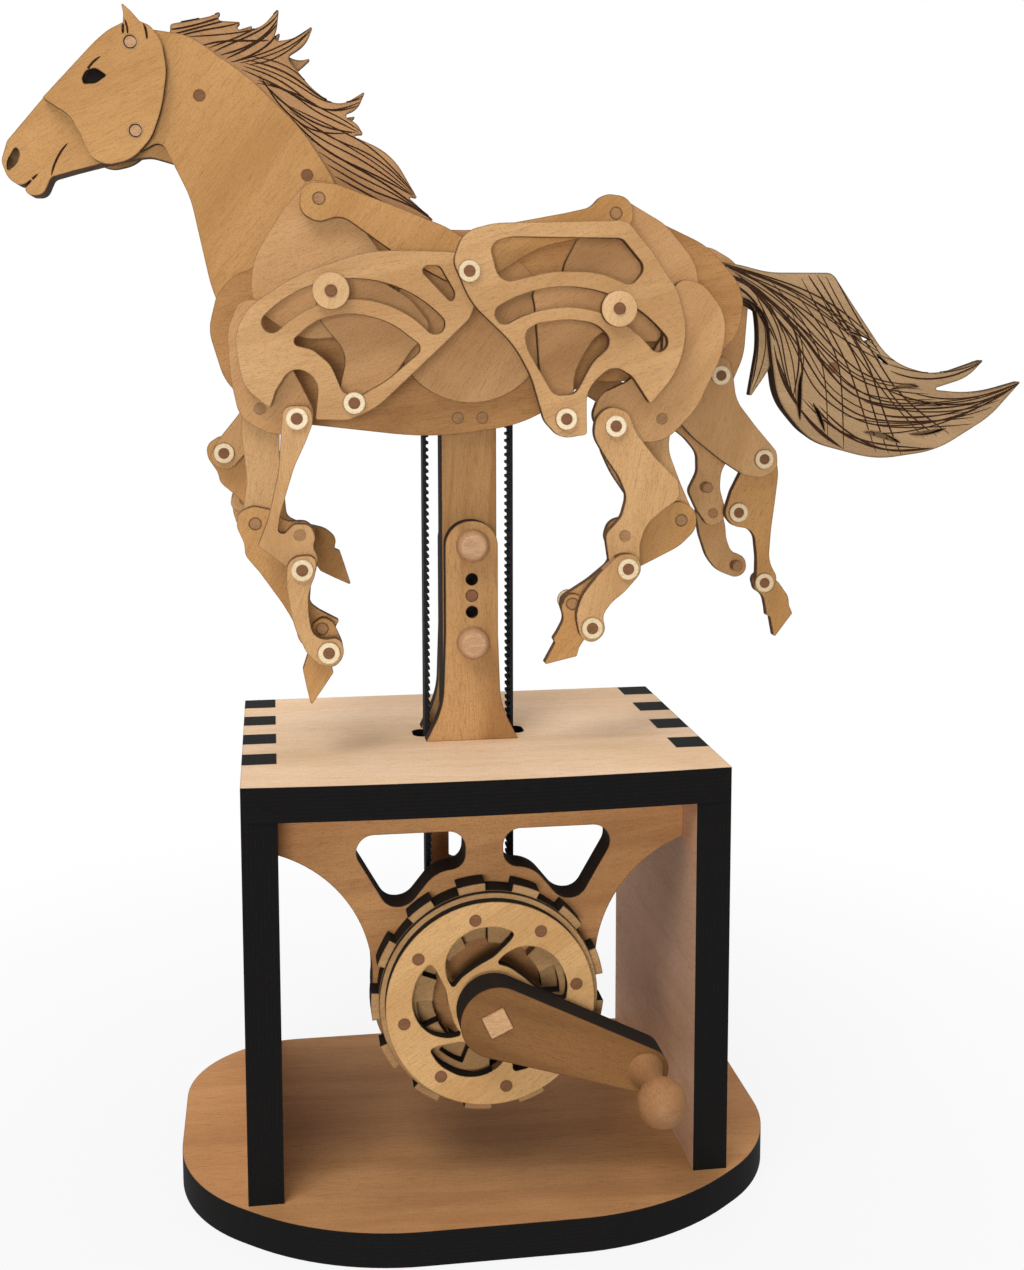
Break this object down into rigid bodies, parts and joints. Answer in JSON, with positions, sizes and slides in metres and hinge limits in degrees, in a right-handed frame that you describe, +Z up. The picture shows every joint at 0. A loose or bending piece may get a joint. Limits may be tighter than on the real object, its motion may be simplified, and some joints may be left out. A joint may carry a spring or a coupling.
{
  "type": "crank automaton",
  "caption": "Hand-cranked wooden horse automaton on a post over an open box, with laser-cut plate legs, a toothed drive wheel and a belt to the horse.",
  "frame": {"origin": "on the base underside, under the centre of the post", "axes": "+X to the horse's tail, +Y away from the crank side, +Z up"},
  "size_m": [0.2928, 0.1318, 0.3283],
  "materials": {
    "ply_pale": "sanded birch ply, satin",
    "ply_dark": "reddish stained ply, satin",
    "ply_burnt": "laser-burnt ply edge, matt",
    "deck_maple": "maple-faced ply, satin",
    "dowel_wood": "hardwood dowel, matt",
    "belt_rubber": "black rubber",
    "pulley_metal": "turned aluminium"
  },
  "bodies": {
    "frame": {"base_plate": "deck_maple", "wall_left": "deck_maple", "wall_right": "deck_maple", "deck": "deck_maple", "hanger_front": "ply_pale", "hanger_rear": "ply_pale", "mast": "ply_pale", "post_plates": "ply_pale", "post_knobs": "dowel_wood", "torso": "ply_dark", "neck": "ply_pale", "head": "ply_pale", "cheeks": "ply_pale", "mane": "ply_dark", "tail": "ply_pale", "body_pins": "dowel_wood", "belt": "belt_rubber"},
    "crank": {"crank_shaft": "dowel_wood", "crank_arm": "ply_pale", "crank_knob": "dowel_wood", "wheel_face": "ply_pale", "wheel_rings": "ply_burnt", "wheel_dowels": "dowel_wood", "pulley_lower": "pulley_metal"},
    "main_shaft": {"main_shaft": "dowel_wood", "pulley_upper": "pulley_metal", "crank_discs": "ply_pale"},
    "fore_near_lever": {"fore_near_lever": "ply_pale"},
    "fore_near_thigh": {"fore_near_thigh": "ply_pale"},
    "fore_near_shin": {"fore_near_shin": "ply_pale"},
    "fore_near_link": {"fore_near_link": "ply_pale"},
    "fore_near_cannon": {"fore_near_cannon": "ply_pale"},
    "fore_near_bow": {"fore_near_bow": "ply_pale"},
    "fore_near_hoof": {"fore_near_hoof": "ply_pale"},
    "fore_near_rod": {"fore_near_rod": "ply_pale"},
    "fore_far_lever": {"fore_far_lever": "ply_pale"},
    "fore_far_thigh": {"fore_far_thigh": "ply_pale"},
    "fore_far_shin": {"fore_far_shin": "ply_pale"},
    "fore_far_link": {"fore_far_link": "ply_pale"},
    "fore_far_cannon": {"fore_far_cannon": "ply_pale"},
    "fore_far_bow": {"fore_far_bow": "ply_pale"},
    "fore_far_hoof": {"fore_far_hoof": "ply_pale"},
    "fore_far_rod": {"fore_far_rod": "ply_pale"},
    "hind_near_lever": {"hind_near_lever": "ply_pale"},
    "hind_near_thigh": {"hind_near_thigh": "ply_pale"},
    "hind_near_shin": {"hind_near_shin": "ply_pale"},
    "hind_near_link": {"hind_near_link": "ply_pale"},
    "hind_near_cannon": {"hind_near_cannon": "ply_pale"},
    "hind_near_bow": {"hind_near_bow": "ply_pale"},
    "hind_near_hoof": {"hind_near_hoof": "ply_pale"},
    "hind_near_rod": {"hind_near_rod": "ply_pale"},
    "hind_far_lever": {"hind_far_lever": "ply_pale"},
    "hind_far_thigh": {"hind_far_thigh": "ply_pale"},
    "hind_far_shin": {"hind_far_shin": "ply_pale"},
    "hind_far_link": {"hind_far_link": "ply_pale"},
    "hind_far_cannon": {"hind_far_cannon": "ply_pale"},
    "hind_far_bow": {"hind_far_bow": "ply_pale"},
    "hind_far_hoof": {"hind_far_hoof": "ply_pale"},
    "hind_far_rod": {"hind_far_rod": "ply_pale"}
  },
  "joints": [
    {"name": "crank_turn", "type": "hinge", "parent": "frame", "child": "crank", "pos_m": [0, 0, 0.0604], "axis": [0, 1, 0], "continuous": true, "deforming": ["belt"]},
    {"name": "main_shaft_turn", "type": "hinge", "parent": "frame", "child": "main_shaft", "pos_m": [0, 0, 0.2426], "axis": [0, 1, 0], "continuous": true},
    {"name": "fore_near_lever_turn", "type": "hinge", "parent": "frame", "child": "fore_near_lever", "pos_m": [-0.0395, -0.01335, 0.2513], "axis": [0, -1, 0], "range_deg": [-12, 8]},
    {"name": "fore_near_thigh_turn", "type": "hinge", "parent": "fore_near_lever", "child": "fore_near_thigh", "pos_m": [-0.03358, -0.01665, 0.22138], "axis": [0, -1, 0], "range_deg": [-7.3, 10.7]},
    {"name": "fore_near_shin_turn", "type": "hinge", "parent": "fore_near_thigh", "child": "fore_near_shin", "pos_m": [-0.05873, -0.01665, 0.21993], "axis": [0, -1, 0], "range_deg": [-10.1, 6.9]},
    {"name": "fore_near_link_turn", "type": "hinge", "parent": "fore_near_thigh", "child": "fore_near_link", "pos_m": [-0.04903, -0.02325, 0.21753], "axis": [0, -1, 0], "range_deg": [-10.1, 6.9]},
    {"name": "fore_near_cannon_turn", "type": "hinge", "parent": "fore_near_shin", "child": "fore_near_cannon", "pos_m": [-0.06053, -0.01665, 0.18878], "axis": [0, -1, 0], "range_deg": [-6.9, 10.1]},
    {"name": "fore_near_bow_turn", "type": "hinge", "parent": "fore_near_link", "child": "fore_near_bow", "pos_m": [-0.0483, -0.02655, 0.17727], "axis": [0, -1, 0], "range_deg": [-6.9, 10.1]},
    {"name": "fore_near_hoof_turn", "type": "hinge", "parent": "fore_near_cannon", "child": "fore_near_hoof", "pos_m": [-0.04301, -0.01995, 0.15997], "axis": [0, -1, 0], "range_deg": [-10.1, 6.9]},
    {"name": "fore_near_rod_turn", "type": "hinge", "parent": "fore_near_lever", "child": "fore_near_rod", "pos_m": [-0.04198, -0.01665, 0.27618], "axis": [0, -1, 0], "range_deg": [-6.1, 8.9]},
    {"name": "fore_far_lever_turn", "type": "hinge", "parent": "frame", "child": "fore_far_lever", "pos_m": [-0.0395, 0.01335, 0.2513], "axis": [0, -1, 0], "range_deg": [-10, 2]},
    {"name": "fore_far_thigh_turn", "type": "hinge", "parent": "fore_far_lever", "child": "fore_far_thigh", "pos_m": [-0.02778, 0.01665, 0.22314], "axis": [0, -1, 0], "range_deg": [-1.7, 6.5]},
    {"name": "fore_far_shin_turn", "type": "hinge", "parent": "fore_far_thigh", "child": "fore_far_shin", "pos_m": [-0.05173, 0.01665, 0.23097], "axis": [0, -1, 0], "range_deg": [-8.5, 2.1]},
    {"name": "fore_far_link_turn", "type": "hinge", "parent": "fore_far_thigh", "child": "fore_far_link", "pos_m": [-0.04357, 0.02325, 0.22519], "axis": [0, -1, 0], "range_deg": [-8.5, 2.1]},
    {"name": "fore_far_cannon_turn", "type": "hinge", "parent": "fore_far_shin", "child": "fore_far_cannon", "pos_m": [-0.06954, 0.01665, 0.20535], "axis": [0, -1, 0], "range_deg": [-2.1, 8.5]},
    {"name": "fore_far_bow_turn", "type": "hinge", "parent": "fore_far_link", "child": "fore_far_bow", "pos_m": [-0.06399, 0.02655, 0.19049], "axis": [0, -1, 0], "range_deg": [-2.1, 8.5]},
    {"name": "fore_far_hoof_turn", "type": "hinge", "parent": "fore_far_cannon", "child": "fore_far_hoof", "pos_m": [-0.04728, 0.01995, 0.18002], "axis": [0, -1, 0], "range_deg": [-8.5, 2.1]},
    {"name": "fore_far_rod_turn", "type": "hinge", "parent": "fore_far_lever", "child": "fore_far_rod", "pos_m": [-0.04685, 0.01665, 0.2752], "axis": [0, -1, 0], "range_deg": [-1.9, 7.5]},
    {"name": "hind_near_lever_turn", "type": "hinge", "parent": "frame", "child": "hind_near_lever", "pos_m": [0.038, -0.01335, 0.2465], "axis": [0, -1, 0], "range_deg": [-5, 14]},
    {"name": "hind_near_thigh_turn", "type": "hinge", "parent": "hind_near_lever", "child": "hind_near_thigh", "pos_m": [0.02385, -0.01665, 0.21669], "axis": [0, -1, 0], "range_deg": [-22.2, 8.25]},
    {"name": "hind_near_shin_turn", "type": "hinge", "parent": "hind_near_thigh", "child": "hind_near_shin", "pos_m": [0.05234, -0.01665, 0.21609], "axis": [0, -1, 0], "range_deg": [-3.5, 8.9]},
    {"name": "hind_near_link_turn", "type": "hinge", "parent": "hind_near_thigh", "child": "hind_near_link", "pos_m": [0.03762, -0.02325, 0.2146], "axis": [0, -1, 0], "range_deg": [-3.5, 8.9]},
    {"name": "hind_near_cannon_turn", "type": "hinge", "parent": "hind_near_shin", "child": "hind_near_cannon", "pos_m": [0.05823, -0.01665, 0.18739], "axis": [0, -1, 0], "range_deg": [-8.9, 3.5]},
    {"name": "hind_near_bow_turn", "type": "hinge", "parent": "hind_near_link", "child": "hind_near_bow", "pos_m": [0.04052, -0.02655, 0.17549], "axis": [0, -1, 0], "range_deg": [-8.9, 3.5]},
    {"name": "hind_near_hoof_turn", "type": "hinge", "parent": "hind_near_cannon", "child": "hind_near_hoof", "pos_m": [0.02633, -0.01995, 0.16501], "axis": [0, -1, 0], "range_deg": [-3.5, 8.9]},
    {"name": "hind_near_rod_turn", "type": "hinge", "parent": "hind_near_lever", "child": "hind_near_rod", "pos_m": [0.03891, -0.01665, 0.27258], "axis": [0, -1, 0], "range_deg": [-10.3, 4]},
    {"name": "hind_far_lever_turn", "type": "hinge", "parent": "frame", "child": "hind_far_lever", "pos_m": [0.038, 0.01335, 0.2465], "axis": [0, -1, 0], "range_deg": [-14, 4]},
    {"name": "hind_far_thigh_turn", "type": "hinge", "parent": "hind_far_lever", "child": "hind_far_thigh", "pos_m": [0.05314, 0.01665, 0.21718], "axis": [0, -1, 0], "range_deg": [-4, 1.5]},
    {"name": "hind_far_shin_turn", "type": "hinge", "parent": "hind_far_thigh", "child": "hind_far_shin", "pos_m": [0.07988, 0.01665, 0.22702], "axis": [0, -1, 0], "range_deg": [-8.9, 2.9]},
    {"name": "hind_far_link_turn", "type": "hinge", "parent": "hind_far_thigh", "child": "hind_far_link", "pos_m": [0.06672, 0.02325, 0.22025], "axis": [0, -1, 0], "range_deg": [-8.9, 2.9]},
    {"name": "hind_far_cannon_turn", "type": "hinge", "parent": "hind_far_shin", "child": "hind_far_cannon", "pos_m": [0.09391, 0.01665, 0.20129], "axis": [0, -1, 0], "range_deg": [-2.9, 8.9]},
    {"name": "hind_far_bow_turn", "type": "hinge", "parent": "hind_far_link", "child": "hind_far_bow", "pos_m": [0.08094, 0.02655, 0.1837], "axis": [0, -1, 0], "range_deg": [-2.9, 8.9]},
    {"name": "hind_far_hoof_turn", "type": "hinge", "parent": "hind_far_cannon", "child": "hind_far_hoof", "pos_m": [0.09565, 0.01995, 0.16236], "axis": [0, -1, 0], "range_deg": [-8.9, 2.9]},
    {"name": "hind_far_rod_turn", "type": "hinge", "parent": "hind_far_lever", "child": "hind_far_rod", "pos_m": [0.0178, 0.01665, 0.26303], "axis": [0, -1, 0], "range_deg": [-3.3, 10.3]}
  ],
  "couplings": [
    {"joint": "main_shaft_turn", "follows": "crank_turn", "ratio": 1},
    {"joint": "fore_near_thigh_turn", "follows": "fore_near_lever_turn", "ratio": -0.85},
    {"joint": "fore_near_shin_turn", "follows": "fore_near_lever_turn", "ratio": 0.8},
    {"joint": "fore_near_link_turn", "follows": "fore_near_lever_turn", "ratio": 0.8},
    {"joint": "fore_near_cannon_turn", "follows": "fore_near_lever_turn", "ratio": -0.8},
    {"joint": "fore_near_bow_turn", "follows": "fore_near_lever_turn", "ratio": -0.8},
    {"joint": "fore_near_hoof_turn", "follows": "fore_near_lever_turn", "ratio": 0.8},
    {"joint": "fore_near_rod_turn", "follows": "fore_near_lever_turn", "ratio": -0.7},
    {"joint": "fore_far_thigh_turn", "follows": "fore_far_lever_turn", "ratio": -0.6},
    {"joint": "fore_far_shin_turn", "follows": "fore_far_lever_turn", "ratio": 0.8},
    {"joint": "fore_far_link_turn", "follows": "fore_far_lever_turn", "ratio": 0.8},
    {"joint": "fore_far_cannon_turn", "follows": "fore_far_lever_turn", "ratio": -0.8},
    {"joint": "fore_far_bow_turn", "follows": "fore_far_lever_turn", "ratio": -0.8},
    {"joint": "fore_far_hoof_turn", "follows": "fore_far_lever_turn", "ratio": 0.8},
    {"joint": "fore_far_rod_turn", "follows": "fore_far_lever_turn", "ratio": -0.7},
    {"joint": "hind_near_thigh_turn", "follows": "hind_near_lever_turn", "ratio": -1.55},
    {"joint": "hind_near_shin_turn", "follows": "hind_near_lever_turn", "ratio": 0.6},
    {"joint": "hind_near_link_turn", "follows": "hind_near_lever_turn", "ratio": 0.6},
    {"joint": "hind_near_cannon_turn", "follows": "hind_near_lever_turn", "ratio": -0.6},
    {"joint": "hind_near_bow_turn", "follows": "hind_near_lever_turn", "ratio": -0.6},
    {"joint": "hind_near_hoof_turn", "follows": "hind_near_lever_turn", "ratio": 0.6},
    {"joint": "hind_near_rod_turn", "follows": "hind_near_lever_turn", "ratio": -0.7},
    {"joint": "hind_far_thigh_turn", "follows": "hind_far_lever_turn", "ratio": 0.25},
    {"joint": "hind_far_shin_turn", "follows": "hind_far_lever_turn", "ratio": 0.6},
    {"joint": "hind_far_link_turn", "follows": "hind_far_lever_turn", "ratio": 0.6},
    {"joint": "hind_far_cannon_turn", "follows": "hind_far_lever_turn", "ratio": -0.6},
    {"joint": "hind_far_bow_turn", "follows": "hind_far_lever_turn", "ratio": -0.6},
    {"joint": "hind_far_hoof_turn", "follows": "hind_far_lever_turn", "ratio": 0.6},
    {"joint": "hind_far_rod_turn", "follows": "hind_far_lever_turn", "ratio": -0.7}
  ]
}
